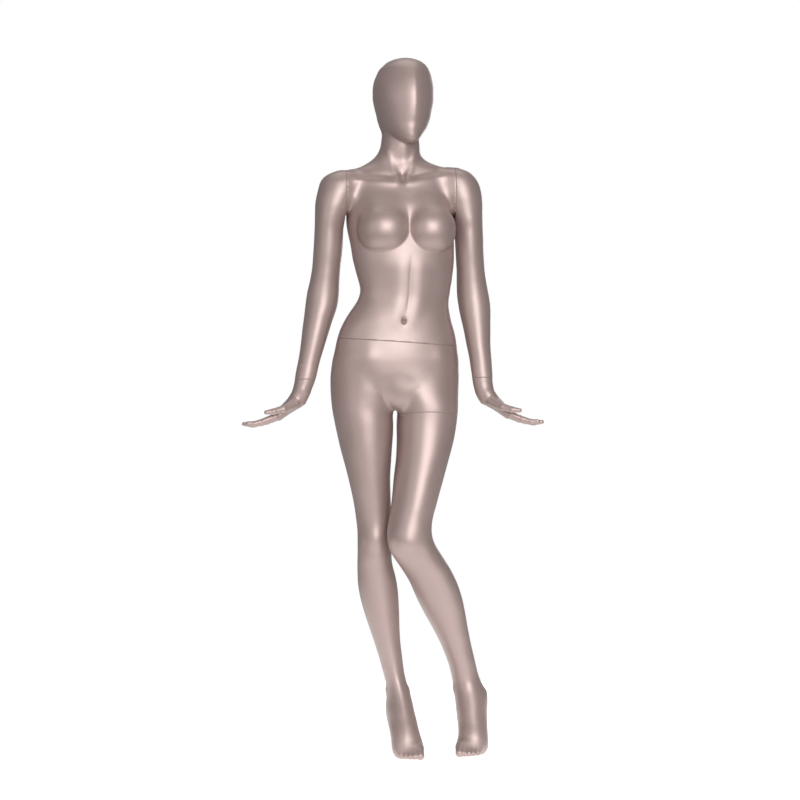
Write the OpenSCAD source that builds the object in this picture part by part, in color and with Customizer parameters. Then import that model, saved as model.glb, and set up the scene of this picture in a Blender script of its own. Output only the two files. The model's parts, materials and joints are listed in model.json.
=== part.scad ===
// Full body display mannequin, female, standing on tiptoe with the left knee bent in.
// Frame: +Z up, the figure faces -Y, +X is its left. Origin on the floor under the middle of the figure.
// Shells are hollow castings, parted at the waist, both shoulders, both wrists and the left thigh.

/* [Shell] */
// Wall thickness of the hollow castings
wall = 4; // [3:0.5:5]
// Gap left at each parting line
seam_gap = 0.6; // [0.4:0.1:1]
// How far the trunk is turned towards the figure's right, degrees
trunk_turn = 8; // [6:1:10]
// How far the head is turned, degrees
head_turn = 18; // [10:1:25]

/* [Discs] */
// Thickness of the waist and thigh discs
disc_t = 15; // [12:1:18]
// Thickness of the shoulder discs
shoulder_disc_t = 12; // [10:1:15]
// Thickness of the wrist discs
wrist_disc_t = 8; // [6:1:10]
// Gap between a disc and the casting round it
disc_gap = 0.6; // [0.4:0.1:2]

/* [Waist fitting] */
// Radius of the waist post
waist_post_r = 14; // [12:1:15]
// Height of the waist post above the parting line
waist_post_h = 100; // [80:5:120]
// Wall of the swivel sleeve
sleeve_wall = 3; // [2:0.5:3]

/* [Shoulder fitting] */
// Radius of the arm peg
arm_peg_r = 10; // [8:1:10]
// Depth of the arm peg inside the shoulder
arm_peg_depth = 50; // [40:5:50]

/* [Wrist fitting] */
// Radius of the hand peg
hand_peg_r = 5; // [4:0.5:5]
// Depth of the hand peg inside the wrist
hand_peg_depth = 30; // [25:1:30]

/* [Thigh fitting] */
// Radius of the leg peg
leg_peg_r = 13; // [10:1:14]
// Height of the leg peg above the parting line
leg_peg_h = 70; // [50:5:75]

/* [Support sockets] */
// Inner radius of the foot socket
rod_r = 6.5; // [5:0.5:6.5]
// Length of the foot socket
foot_tube_len = 45; // [30:5:45]

/* [Fits] */
// Radial clearance of every turning or sliding fit
fit = 0.05; // [0.03:0.01:0.1]

/* [Hidden] */

lacquer = [0.69, 0.61, 0.59];
board = [0.72, 0.60, 0.44];
steel = [0.75, 0.76, 0.78];
nylon = [0.93, 0.92, 0.88];
magnet_c = [0.60, 0.60, 0.62];
screw_c = [0.80, 0.80, 0.80];

// Body sections: [height, right edge x, left edge x, front y, back y, squareness]
trunk = [
  [1040, -146, 174, -88,  92, 2.2], [1066, -139, 171, -87,  84, 2.2], [1100, -129, 163, -86,  75, 2.2],
  [1150, -101, 150, -83,  66, 2.1], [1175,  -84, 150, -82,  63, 2.1], [1200,  -77, 153, -84,  64, 2.1],
  [1250,  -88, 162, -92,  72, 2.1], [1305, -101, 163, -97,  82, 2.1], [1356, -111, 161, -98,  92, 2.2],
  [1385, -115, 160, -96,  97, 2.2], [1415, -114, 162, -90, 100, 2.2], [1445, -112, 164, -80, 100, 2.3],
  [1470, -108, 162, -66,  97, 2.3], [1490,  -98, 156, -52,  92, 2.3], [1505,  -80, 146, -42,  84, 2.2],
  [1518,  -66, 118, -38,  76, 2.1], [1530,  -56, 100, -38,  70, 2.1], [1542,  -42,  84, -41,  66, 2.0],
  [1555,  -32,  77, -45,  62, 2.0], [1575,  -25,  75, -50,  58, 2.0], [1600,  -22,  72, -54,  54, 2.0],
  [1640,  -20,  70, -60,  50, 2.0]];
head_rows = [
  [1587,  38,  64, -70, -34, 2.0], [1591,  24,  72, -84, -14, 2.0], [1600,   4,  80, -93,   8, 2.0],
  [1620, -22,  94, -101, 50, 2.0], [1640, -33, 102, -107, 74, 2.0], [1660, -39, 106, -112, 86, 2.0],
  [1680, -44, 109, -115, 92, 2.0], [1700, -46, 110, -115, 95, 2.0], [1720, -46, 110, -112, 95, 2.0],
  [1740, -43, 108, -106, 91, 2.0], [1760, -36, 102,  -96, 83, 2.0], [1775, -27,  94,  -84, 72, 2.0],
  [1787, -14,  82,  -66, 54, 2.0], [1795,   4,  64,  -42, 30, 2.0], [1800,  24,  44,  -16,  6, 2.0]];
arm_r_rows = [
  [1508, -132, -104, -34,   6, 2.0], [1501, -152,  -82, -52,  22, 2.1], [1490, -170,  -78, -62,  30, 2.1],
  [1475, -181,  -80, -68,  36, 2.1], [1455, -188,  -82, -72,  40, 2.1], [1430, -192,  -90, -73,  40, 2.1],
  [1400, -195, -105, -71,  38, 2.1], [1370, -197, -122, -66,  36, 2.1], [1340, -198, -123, -61,  36, 2.0],
  [1305, -199, -126, -56,  36, 2.0], [1250, -204, -131, -49,  36, 2.0], [1200, -214, -135, -45,  38, 2.0],
  [1150, -222, -143, -48,  36, 2.0], [1100, -228, -159, -52,  25, 2.0], [1045, -235, -175, -56,   8, 2.0],
  [ 993, -244, -190, -62,  -9, 2.0], [ 967, -249, -197, -64, -16, 2.0], [ 950, -253, -201, -66, -18, 2.0]];
arm_l_rows = [
  [1519,  150,  180,   2,  42, 2.0], [1512,  128,  201, -16,  58, 2.1], [1502,  120,  213, -26,  66, 2.1],
  [1488,  120,  224, -32,  72, 2.1], [1468,  122,  232, -36,  76, 2.1], [1445,  130,  236, -37,  76, 2.1],
  [1415,  142,  238, -35,  75, 2.1], [1385,  158,  239, -31,  73, 2.1], [1350,  166,  238, -26,  72, 2.0],
  [1305,  169,  240, -20,  72, 2.0], [1250,  171,  243, -13,  72, 2.0], [1200,  172,  251,  -9,  74, 2.0],
  [1150,  179,  257, -12,  72, 2.0], [1100,  189,  257, -16,  61, 2.0], [1045,  200,  258, -20,  44, 2.0],
  [ 993,  208,  263, -26,  27, 2.0], [ 967,  213,  264, -28,  20, 2.0], [ 950,  217,  264, -30,  18, 2.0]];
hip_rows = [
  [ 884,  -70,  90, -50,  60, 2.2], [ 900, -140, 160, -72, 100, 2.3], [ 920, -154, 174, -80, 117, 2.4],
  [ 950, -156, 177, -84, 119, 2.4], [ 980, -156, 177, -87, 114, 2.4], [1010, -153, 176, -88, 104, 2.3],
  [1040, -146, 174, -88,  92, 2.2], [1066, -139, 171, -87,  84, 2.2], [1100, -129, 163, -86,  75, 2.2]];
leg_r_rows = [
  [   0,   12,  76, -104, -46, 2.3], [   8,    5,  87, -112, -38, 2.4], [  20,    2,  86, -108, -30, 2.4],
  [  40,    2,  81,  -92, -12, 2.3], [  60,   -3,  75,  -79,  14, 2.2], [  80,   -8,  70,  -68,  52, 2.1],
  [ 100,  -13,  65,  -56,  76, 2.1], [ 120,  -13,  59,  -44,  81, 2.1], [ 140,  -11,  54,  -32,  79, 2.1],
  [ 160,  -11,  50,  -22,  75, 2.1], [ 180,  -13,  43,  -13,  71, 2.0], [ 200,  -17,  38,   -8,  70, 2.0],
  [ 240,  -28,  31,   -8,  71, 2.0], [ 280,  -39,  26,  -11,  77, 2.0], [ 320,  -53,  23,  -15,  86, 2.0],
  [ 360,  -67,  22,  -20,  96, 2.0], [ 400,  -77,  20,  -24, 101, 2.0], [ 440,  -84,  17,  -28,  98, 2.0],
  [ 480,  -87,   7,  -34,  84, 2.0], [ 520,  -86,   2,  -42,  68, 2.1], [ 560,  -86,   1,  -48,  64, 2.1],
  [ 600,  -88,   2,  -48,  68, 2.1], [ 640,  -94,   1,  -54,  70, 2.0], [ 680, -102,   0,  -61,  73, 2.0],
  [ 720, -112,  -1,  -67,  78, 2.0], [ 760, -122,   2,  -72,  85, 2.0], [ 800, -133,   4,  -76,  90, 2.1],
  [ 840, -140,   6,  -78,  94, 2.1], [ 880, -150,   5,  -80, 102, 2.1], [ 920, -155,  12,  -80, 110, 2.2],
  [ 960, -144,  12,  -70,  96, 2.2]];
leg_l_rows = [
  [   0,  172, 244,  -58,   2, 2.3], [   8,  166, 253,  -64,  10, 2.4], [  20,  170, 254,  -60,  20, 2.4],
  [  40,  175, 254,  -48,  38, 2.3], [  60,  176, 252,  -37,  62, 2.2], [  80,  174, 251,  -27,  98, 2.1],
  [ 100,  171, 251,  -17, 118, 2.1], [ 120,  171, 251,   -7, 123, 2.1], [ 140,  168, 252,    4, 121, 2.1],
  [ 160,  166, 248,   15, 116, 2.1], [ 180,  163, 236,   22, 110, 2.0], [ 200,  158, 230,   24, 106, 2.0],
  [ 240,  148, 217,   16, 102, 2.0], [ 280,  132, 210,    6, 103, 2.0], [ 320,  112, 202,  -10, 104, 2.0],
  [ 360,   90, 194,  -28, 100, 2.0], [ 400,   68, 185,  -48,  90, 2.0], [ 440,   51, 173,  -70,  70, 2.0],
  [ 480,   27, 153,  -94,  40, 2.1], [ 500,   14, 141, -105,  22, 2.1], [ 520,    1, 128, -115,   6, 2.1],
  [ 540,   -7, 115, -122,  -6, 2.1], [ 560,   -9, 105, -125,  -8, 2.1], [ 580,   -8, 104, -124,  -3, 2.1],
  [ 600,   -6, 107, -121,   8, 2.1], [ 640,    1, 117, -116,  24, 2.0], [ 680,    5, 128, -110,  38, 2.0],
  [ 720,    8, 139, -103,  53, 2.0], [ 760,   13, 150,  -96,  66, 2.0], [ 800,   15, 160,  -88,  78, 2.1],
  [ 840,   15, 168,  -81,  88, 2.1], [ 880,   16, 173,  -76, 100, 2.1], [ 920,   14, 176,  -76, 108, 2.2],
  [ 960,   14, 164,  -68,  96, 2.2]];

// Points of one section: the oval of a row, shrunk by inset and turned about its own middle
function oval(r, inset, turn, n) = let(cx = (r[1] + r[2])/2, cy = (r[3] + r[4])/2,
    w = max(1, (r[2] - r[1])/2 - inset), d = max(1, (r[4] - r[3])/2 - inset), e = 2/r[5])
  [for (i = [0:n-1]) let(a = 360*i/n, c = cos(a), s = sin(a),
      u = w*sign(c)*pow(abs(c), e), v = d*sign(s)*pow(abs(s), e))
    [cx + u*cos(turn) - v*sin(turn), cy + u*sin(turn) + v*cos(turn), r[0]]];
function spline(a, b, c, d, t) = 0.5*(2*b + (c - a)*t + (2*a - 5*b + 4*c - d)*t*t + (3*b - a - 3*c + d)*t*t*t);
function smooth(rows, k) = let(m = len(rows)) [for (j = [0:m-2], s = [0:k-1])
      s == 0 ? rows[j] : spline(rows[max(j-1, 0)], rows[j], rows[j+1], rows[min(j+2, m-1)], s/k), rows[m-1]];
function between(rows, lo, hi) = [for (r = rows) if (r[0] >= lo && r[0] <= hi) r];

// Closed solid through a list of sections that rise in height
module loft(rows, inset = 0, turn = 0, n = 28) {
  up = rows[0][0] < rows[len(rows)-1][0] ? rows : [for (i = [len(rows)-1:-1:0]) rows[i]];
  m = len(up);
  polyhedron(
    [for (r = up) each oval(r, inset, turn, n)],
    [for (j = [0:m-2], i = [0:n-1]) each [[j*n + i, (j+1)*n + (i+1)%n, j*n + (i+1)%n], [j*n + i, (j+1)*n + i, (j+1)*n + (i+1)%n]],
      [for (i = [0:n-1]) i], [for (i = [n-1:-1:0]) (m-1)*n + i]], convexity = 8);
}

// One mesh out of a set of shapes
module cast() { resize([0, 0, 0]) children(); }

// Fitting frames, local Z along the peg
module at_waist() { translate([15, 0, 1065]) rotate([0, 3.7, 0]) children(); }
module at_shoulder(side) {
  if (side < 0) translate([-121, -16, 1443]) rotate([0, 0, 12]) rotate([0, -90, 0]) children();
  else translate([165, 20, 1459]) rotate([0, 0, 4]) rotate([0, 90, 0]) children();
}
module at_wrist(side) { translate(side < 0 ? [-223, -40, 969] : [238, -4, 974]) rotate([180, 0, 0]) children(); }
module at_thigh() { translate([93, 12, 875]) rotate([-6, 0, 0]) children(); }
module above(h) { translate([-900, -900, h]) cube(1800); }
module below(h) { translate([-900, -900, h - 1800]) cube(1800); }

module ball(p, r, n = 24) { translate(p) sphere(r = r, $fn = n); }
module bust() {
  for (s = [-1, 1]) translate([31, 0, 1362]) rotate([0, 0, trunk_turn]) translate([s*61, -66, 0]) scale([1.02, 0.98, 1]) sphere(r = 60, $fn = 22);
}
module head(cut = 0) { loft(smooth(head_rows, cut > 0 ? 1 : 2), cut, head_turn, cut > 0 ? 16 : 26); }

// ---- lower body
module lower_outer() {
  loft(smooth(hip_rows, 2), 0, trunk_turn, 28);
  loft(leg_r_rows, 0, 4, 26);
  loft(between(leg_l_rows, 840, 960), 0, 4, 26);
}
module lower_inner() {
  loft(hip_rows, wall, trunk_turn, 20);
  loft(between(leg_r_rows, 180, 960), wall, 4, 20);
  loft(between(leg_l_rows, 840, 960), wall, 4, 20);
}
module left_thigh_block() { at_thigh() translate([-82, -150, -400]) cube([300, 300, 400 + seam_gap/2]); }
module lower_body_shell() {
  color(lacquer) cast() difference() {
    lower_outer();
    lower_inner();
    at_waist() above(-seam_gap/2);
    left_thigh_block();
    translate([44, -62, -1]) cylinder(r = rod_r + 2.3, h = foot_tube_len + 4, $fn = 32);
  }
}
module board_disc(rows, turn, n) { loft(rows, wall + disc_gap, turn, n); }
module waist_lower_disc() {
  color(board) difference() {
    intersection() {
      board_disc(between(hip_rows, 1040, 1100), trunk_turn, 20);
      at_waist() translate([-300, -300, -0.5 - disc_t]) cube([600, 600, disc_t]);
    }
    at_waist() translate([0, 0, -40]) cylinder(r = waist_post_r + 0.3, h = 80, $fn = 48);
    at_waist() translate([0, 0, -6.5]) cylinder(r = 32.5, h = 20, $fn = 48);
    at_waist() screw_holes(4, 24, 2.45, -40, 60);
  }
}
module screw_holes(count, at, r, z, h, turn = 45) {
  for (i = [0:count-1]) rotate([0, 0, turn + 360*i/count]) translate([at, 0, z]) cylinder(r = r, h = h, $fn = 20);
}
// A screw whose head fills the counterbore of its flange; z0 is the head's outer face, dir the way the shank goes
module screws(count, at, head_r, shank_r, len, z0, dir, turn = 45) {
  for (i = [0:count-1]) rotate([0, 0, turn + 360*i/count]) translate([at, 0, z0]) mirror([0, 0, dir < 0 ? 1 : 0]) difference() {
    union() {
      cylinder(r = head_r, h = 2.2, $fn = 24);
      translate([0, 0, 1]) cylinder(r = shank_r, h = len - 1, $fn = 20);
    }
    translate([-3, -0.5, -1]) cube([6, 1, 2]);
    translate([-0.5, -3, -1]) cube([1, 6, 2]);
  }
}
module flange(r, t, bore, count, at) {
  difference() {
    cylinder(r = r, h = t, $fn = 48);
    translate([0, 0, -1]) cylinder(r = bore, h = t + 2, $fn = 48);
    screw_holes(count, at, 2.6, -1, t + 2);
  }
}
module waist_post() {
  color(steel) at_waist() difference() {
    union() {
      translate([0, 0, -36]) cylinder(r = waist_post_r, h = 36 + waist_post_h - 3, $fn = 48);
      translate([0, 0, waist_post_h - 3]) cylinder(r1 = waist_post_r, r2 = waist_post_r - 3, h = 3, $fn = 48);
      translate([0, 0, -6]) cylinder(r = 32, h = 5, $fn = 48);
    }
    screw_holes(4, 24, 2.6, -20, 40);
    screw_holes(4, 24, 4.8, -3.5, 10);
  }
}
module waist_post_screws() { color(screw_c) at_waist() screws(4, 24, 4.6, 2.4, 14, -1.1, -1); }
module waist_swivel_sleeve() {
  color(nylon) at_waist() difference() {
    union() {
      translate([0, 0, 0.8]) cylinder(r = 22, h = 3.2, $fn = 48);
      translate([0, 0, 0.8]) cylinder(r = waist_post_r + sleeve_wall, h = waist_post_h - 8.8, $fn = 48);
    }
    cylinder(r = waist_post_r + fit, h = waist_post_h, $fn = 48);
  }
}
module hip_disc() {
  color(board) difference() {
    intersection() {
      board_disc(between(leg_l_rows, 840, 920), 4, 20);
      at_thigh() translate([-300, -300, 0.5]) cube([600, 600, disc_t]);
    }
    at_thigh() translate([0, 0, -5]) cylinder(r = leg_peg_r + fit + 3.3, h = 60, $fn = 48);
    at_thigh() translate([0, 0, -5]) cylinder(r = 30.5, h = 10.5, $fn = 48);
    at_thigh() screw_holes(4, 23, 2.45, -5, 40);
    at_thigh() translate([0, -48, -5]) cylinder(r = 4.3, h = 19, $fn = 32);
    at_thigh() for (s = [-1, 1]) translate([s*46, 0, -5]) cylinder(r = 8.2, h = 11, $fn = 32);
  }
}
module leg_socket() {
  color(steel) at_thigh() difference() {
    union() {
      translate([0, 0, 1]) cylinder(r = 30, h = 4, $fn = 48);
      translate([0, 0, 1]) cylinder(r = leg_peg_r + fit + 3, h = leg_peg_h + 8, $fn = 48);
    }
    cylinder(r = leg_peg_r + fit, h = leg_peg_h + 5, $fn = 48);
    screw_holes(4, 23, 2.6, 0, 20);
    screw_holes(4, 23, 4.8, 0, 3.5);
  }
}
module leg_socket_screws() { color(screw_c) at_thigh() screws(4, 23, 4.6, 2.4, 13, 1.1, 1); }
module hip_magnets() { color(magnet_c) at_thigh() for (s = [-1, 1]) translate([s*46, 0, 0.8]) cylinder(r = 8, h = 5, $fn = 32); }
module foot_spigot_tube() {
  color(steel) translate([44, -62, 0.3]) difference() {
    cylinder(r = rod_r + 2, h = foot_tube_len, $fn = 40);
    translate([0, 0, -1]) cylinder(r = rod_r, h = foot_tube_len - 2, $fn = 40);
  }
}

// ---- torso with head
module torso_outer() {
  loft(smooth(trunk, 2), 0, trunk_turn, 28);
  for (s = [-1, 1]) difference() {
    loft(between(s < 0 ? arm_r_rows : arm_l_rows, 1340, 1520), 0, 0, 22);
    at_shoulder(s) above(-seam_gap/2);
  }
  bust();
  head();
}
module torso_inner() {
  loft(trunk, wall, trunk_turn, 20);
  loft(between(arm_r_rows, 1370, 1501), wall, 0, 18);
  loft(between(arm_l_rows, 1385, 1512), wall, 0, 18);
  head(wall);
}
module torso_shell() {
  color(lacquer) cast() difference() {
    torso_outer();
    torso_inner();
    at_waist() below(seam_gap/2);
    for (s = [-1, 1]) at_shoulder(s) translate([s < 0 ? -66 : -140, -120, -seam_gap/2]) cube([206, 240, 300]);
    for (s = [-1, 1]) at_shoulder(s) translate([0, 0, -0.9 - shoulder_disc_t]) cylinder(r = 42.4, h = 20, $fn = 48);
  }
}
module waist_upper_disc() {
  color(board) difference() {
    intersection() {
      board_disc(between(trunk, 1040, 1150), trunk_turn, 20);
      at_waist() translate([-300, -300, 0.5]) cube([600, 600, disc_t]);
    }
    at_waist() translate([0, 0, -20]) cylinder(r = 22.5, h = 80, $fn = 48);
    at_waist() screw_holes(4, 29, 2.45, -5, 40);
  }
}
module waist_socket() {
  r = waist_post_r + sleeve_wall + fit;
  color(steel) at_waist() difference() {
    union() {
      translate([0, 0, 4.6]) cylinder(r = r + 3, h = waist_post_h + 4, $fn = 48);
      translate([0, 0, disc_t + 0.8]) cylinder(r = 36, h = 4, $fn = 48);
    }
    cylinder(r = r, h = waist_post_h + 20, $fn = 48);
    screw_holes(4, 29, 2.6, 0, 40);
    translate([0, 0, disc_t + 2.6]) screw_holes(4, 29, 4.8, 0, 10);
  }
}
module waist_socket_screws() { color(screw_c) at_waist() screws(4, 29, 4.6, 2.4, 14, disc_t + 4.8, -1); }
module shoulder_disc(side) {
  color(board) difference() {
    at_shoulder(side) translate([0, 0, -0.5 - shoulder_disc_t]) scale([1, 1, 1]) linear_extrude(shoulder_disc_t) oval2(42, 42);
    at_shoulder(side) translate([0, 0, -60]) cylinder(r = arm_peg_r + 6.4, h = 80, $fn = 48);
    at_shoulder(side) translate([0, 0, -3.8]) cylinder(r = 26.3, h = 20, $fn = 48);
    at_shoulder(side) screw_holes(3, 21, 2.05, -40, 60, 30);
    at_shoulder(side) for (s = [-1, 1]) translate([0, s*33, -5]) cylinder(r = 5.2, h = 20, $fn = 32);
  }
}
module oval2(a, b, n = 36) { polygon([for (i = [0:n-1]) [a*cos(360*i/n), b*sin(360*i/n)]]); }
module shoulder_socket(side) {
  r = arm_peg_r + 3 + fit;
  color(steel) at_shoulder(side) difference() {
    union() {
      translate([0, 0, -arm_peg_depth - 9]) cylinder(r = r + 3, h = arm_peg_depth + 8, $fn = 48);
      translate([0, 0, -3.6]) cylinder(r = 26, h = 2.6, $fn = 48);
    }
    translate([0, 0, -arm_peg_depth - 6]) cylinder(r = r, h = arm_peg_depth + 20, $fn = 48);
    screw_holes(3, 21, 2.2, -20, 40, 30);
  }
}
module shoulder_socket_screws(side) {
  color(screw_c) at_shoulder(side) for (i = [0:2]) rotate([0, 0, 30 + 120*i]) translate([21, 0, 0]) union() {
    translate([0, 0, -10.5]) cylinder(r = 2, h = 10, $fn = 20);
  }
}
module shoulder_magnets(side) { color(magnet_c) at_shoulder(side) for (s = [-1, 1]) translate([0, s*33, -4.8]) cylinder(r = 5, h = 4, $fn = 32); }
module shoulder_bush(side) {
  color(nylon) at_shoulder(side) difference() {
    translate([0, 0, -arm_peg_depth - 4]) cylinder(r = arm_peg_r + 3, h = arm_peg_depth + 3.2, $fn = 48);
    translate([0, 0, -arm_peg_depth - 6]) cylinder(r = arm_peg_r + fit, h = arm_peg_depth + 20, $fn = 48);
  }
}

// ---- arms
module arm_outer(side) { loft(smooth(side < 0 ? arm_r_rows : arm_l_rows, 2), 0, 0, 22); }
module arm_inner(side) { loft(between(side < 0 ? arm_r_rows : arm_l_rows, 900, 1503), wall, 0, 18); }
module arm_shell(side) {
  color(lacquer) cast() difference() {
    arm_outer(side);
    arm_inner(side);
    at_shoulder(side) below(seam_gap/2);
    at_wrist(side) above(-seam_gap/2);
  }
}
module arm_top_disc(side) {
  color(board) difference() {
    at_shoulder(side) translate([0, 0, 0.5]) linear_extrude(shoulder_disc_t) oval2(40, 40);
    at_shoulder(side) translate([0, 0, -5]) cylinder(r = arm_peg_r + 0.3, h = 60, $fn = 48);
    at_shoulder(side) translate([0, 0, -5]) cylinder(r = 20.4, h = 9.3, $fn = 48);
    at_shoulder(side) screw_holes(3, 15.5, 2.05, -5, 40, 30);
    at_shoulder(side) for (s = [-1, 1]) translate([0, s*33, -5]) cylinder(r = 5.2, h = 10, $fn = 32);
  }
}
module arm_peg(side) {
  color(steel) at_shoulder(side) difference() {
    union() {
      translate([0, 0, -arm_peg_depth]) cylinder(r = arm_peg_r, h = arm_peg_depth + 20, $fn = 48);
      translate([0, 0, 1]) cylinder(r = 20, h = 3, $fn = 48);
    }
    screw_holes(3, 15.5, 2.2, 0, 30, 30);
  }
}
module arm_peg_screws(side) {
  color(screw_c) at_shoulder(side) for (i = [0:2]) rotate([0, 0, 30 + 120*i]) translate([15.5, 0, 1.2]) cylinder(r = 2, h = 10, $fn = 20);
}
module arm_magnets(side) { color(magnet_c) at_shoulder(side) for (s = [-1, 1]) translate([0, s*33, 0.8]) cylinder(r = 5, h = 4, $fn = 32); }
module wrist_disc(side) {
  color(board) difference() {
    at_wrist(side) translate([0, 0, -0.5 - wrist_disc_t]) linear_extrude(wrist_disc_t) oval2(19.5, 17.5);
    at_wrist(side) translate([0, 0, -40]) cylinder(r = hand_peg_r + 4.1, h = 60, $fn = 40);
    at_wrist(side) translate([0, 0, -2.8]) cylinder(r = 13.3, h = 20, $fn = 40);
  }
}
module wrist_socket(side) {
  r = hand_peg_r + 2.5;
  color(steel) at_wrist(side) difference() {
    union() {
      translate([0, 0, -hand_peg_depth - 6]) cylinder(r = r + 1.4, h = hand_peg_depth + 5.2, $fn = 40);
      translate([0, 0, -2.6]) cylinder(r = 13, h = 1.8, $fn = 40);
    }
    translate([0, 0, -hand_peg_depth - 4]) cylinder(r = r, h = hand_peg_depth + 20, $fn = 40);
  }
}
module wrist_bush(side) {
  color(nylon) at_wrist(side) difference() {
    translate([0, 0, -hand_peg_depth - 3]) cylinder(r = hand_peg_r + 2.5 - fit, h = hand_peg_depth + 2.2, $fn = 40);
    translate([0, 0, -hand_peg_depth - 6]) cylinder(r = hand_peg_r + fit, h = hand_peg_depth + 20, $fn = 40);
  }
}

// ---- hands, drawn for the left wrist: +X outwards, -Y the thumb side
knuckles = [[76, -30, -96], [82, -10, -99], [80, 10, -100], [74, 28, -99]];
middles = [[116, -35, -110], [124, -12, -114], [120, 11, -114], [106, 32, -111]];
tips = [[142, -39, -113], [152, -13, -113], [146, 12, -114], [128, 35, -115]];
module link(a, ra, b, rb) { hull() { ball(a, ra, 12); ball(b, rb, 12); } }
module hand_form() {
  hull() {
    translate([0, 0, -2.3]) linear_extrude(2) oval2(24.5, 22.5, 20);
    ball([4, 0, -28], 21, 16);
  }
  hull() {
    ball([4, 0, -28], 21, 16);
    for (s = [-1, 1]) ball([26, s*15, -64], 17, 14);
  }
  hull() {
    for (s = [-1, 1]) ball([26, s*15, -64], 16, 14);
    for (k = knuckles) ball(k, 10, 12);
  }
  for (i = [0:3]) {
    link(knuckles[i], 9.5, middles[i], 8);
    link(middles[i], 8, tips[i], 6.5);
  }
  link([28, -22, -64], 14, [58, -46, -78], 10);
  link([58, -46, -78], 10, [90, -56, -86], 7);
}
module hand(side) {
  color(lacquer) cast() difference() {
    translate(side < 0 ? [-223, -40, 969] : [238, -4, 974]) mirror([side < 0 ? 1 : 0, 0, 0]) hand_form();
    at_wrist(side) translate([0, 0, -2]) cylinder(r = hand_peg_r + 0.3, h = 26, $fn = 24);
  }
}
module hand_peg(side) { color(steel) at_wrist(side) translate([0, 0, -hand_peg_depth]) cylinder(r = hand_peg_r, h = hand_peg_depth + 22, $fn = 40); }

// ---- left leg
module left_leg_shell() {
  color(lacquer) cast() difference() {
    loft(between(leg_l_rows, 0, 920), 0, 4, 26);
    loft(between(leg_l_rows, 180, 920), wall, 4, 20);
    at_thigh() above(-seam_gap/2);
  }
}
module leg_top_disc() {
  color(board) difference() {
    intersection() {
      board_disc(between(leg_l_rows, 800, 920), 4, 20);
      at_thigh() translate([-300, -300, -0.5 - disc_t]) cube([600, 600, disc_t]);
    }
    at_thigh() translate([0, 0, -40]) cylinder(r = leg_peg_r + 0.3, h = 80, $fn = 48);
    at_thigh() translate([0, 0, -5.5]) cylinder(r = 28.5, h = 20, $fn = 48);
    at_thigh() screw_holes(4, 22, 2.45, -40, 60);
    at_thigh() translate([0, -48, -11]) cylinder(r = 4.05, h = 30, $fn = 32);
    at_thigh() for (s = [-1, 1]) translate([s*46, 0, -6]) cylinder(r = 8.2, h = 11, $fn = 32);
  }
}
module leg_peg() {
  color(steel) at_thigh() difference() {
    union() {
      translate([0, 0, -34]) cylinder(r = leg_peg_r, h = 34 + leg_peg_h - 3, $fn = 48);
      translate([0, 0, leg_peg_h - 3]) cylinder(r1 = leg_peg_r, r2 = leg_peg_r - 3, h = 3, $fn = 48);
      translate([0, 0, -5]) cylinder(r = 28, h = 4, $fn = 48);
    }
    screw_holes(4, 22, 2.6, -20, 40);
    screw_holes(4, 22, 4.8, -3.5, 10);
  }
}
module leg_peg_screws() { color(screw_c) at_thigh() screws(4, 22, 4.6, 2.4, 13, -1.1, -1); }
module leg_locating_pin() { color(steel) at_thigh() translate([0, -48, -10.8]) cylinder(r = 4, h = 23, $fn = 32); }
module leg_magnets() { color(magnet_c) at_thigh() for (s = [-1, 1]) translate([s*46, 0, -5.8]) cylinder(r = 8, h = 5, $fn = 32); }

lower_body_shell();
waist_lower_disc();
waist_post();
waist_post_screws();
hip_disc();
leg_socket();
leg_socket_screws();
hip_magnets();
foot_spigot_tube();
waist_swivel_sleeve();
torso_shell();
waist_upper_disc();
waist_socket();
waist_socket_screws();
shoulder_disc(-1);  // shoulder_disc_r
shoulder_socket(-1);  // shoulder_socket_r
shoulder_socket_screws(-1);  // shoulder_socket_screws_r
shoulder_magnets(-1);  // shoulder_magnets_r
shoulder_disc(1);  // shoulder_disc_l
shoulder_socket(1);  // shoulder_socket_l
shoulder_socket_screws(1);  // shoulder_socket_screws_l
shoulder_magnets(1);  // shoulder_magnets_l
shoulder_bush(-1);  // shoulder_bush_r
shoulder_bush(1);  // shoulder_bush_l
arm_shell(-1);  // arm_shell_r
arm_top_disc(-1);  // arm_top_disc_r
arm_peg(-1);  // arm_peg_r
arm_peg_screws(-1);  // arm_peg_screws_r
arm_magnets(-1);  // arm_magnets_r
wrist_disc(-1);  // wrist_disc_r
wrist_socket(-1);  // wrist_socket_r
arm_shell(1);  // arm_shell_l
arm_top_disc(1);  // arm_top_disc_l
arm_peg(1);  // arm_peg_l
arm_peg_screws(1);  // arm_peg_screws_l
arm_magnets(1);  // arm_magnets_l
wrist_disc(1);  // wrist_disc_l
wrist_socket(1);  // wrist_socket_l
wrist_bush(-1);  // wrist_bush_r
wrist_bush(1);  // wrist_bush_l
hand(-1);  // hand_r
hand_peg(-1);  // hand_peg_r
hand(1);  // hand_l
hand_peg(1);  // hand_peg_l
left_leg_shell();
leg_top_disc();
leg_peg();
leg_peg_screws();
leg_locating_pin();
leg_magnets();
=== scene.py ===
import json, math
import bpy, bmesh
import numpy as np
from mathutils import Vector, Matrix


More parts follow.
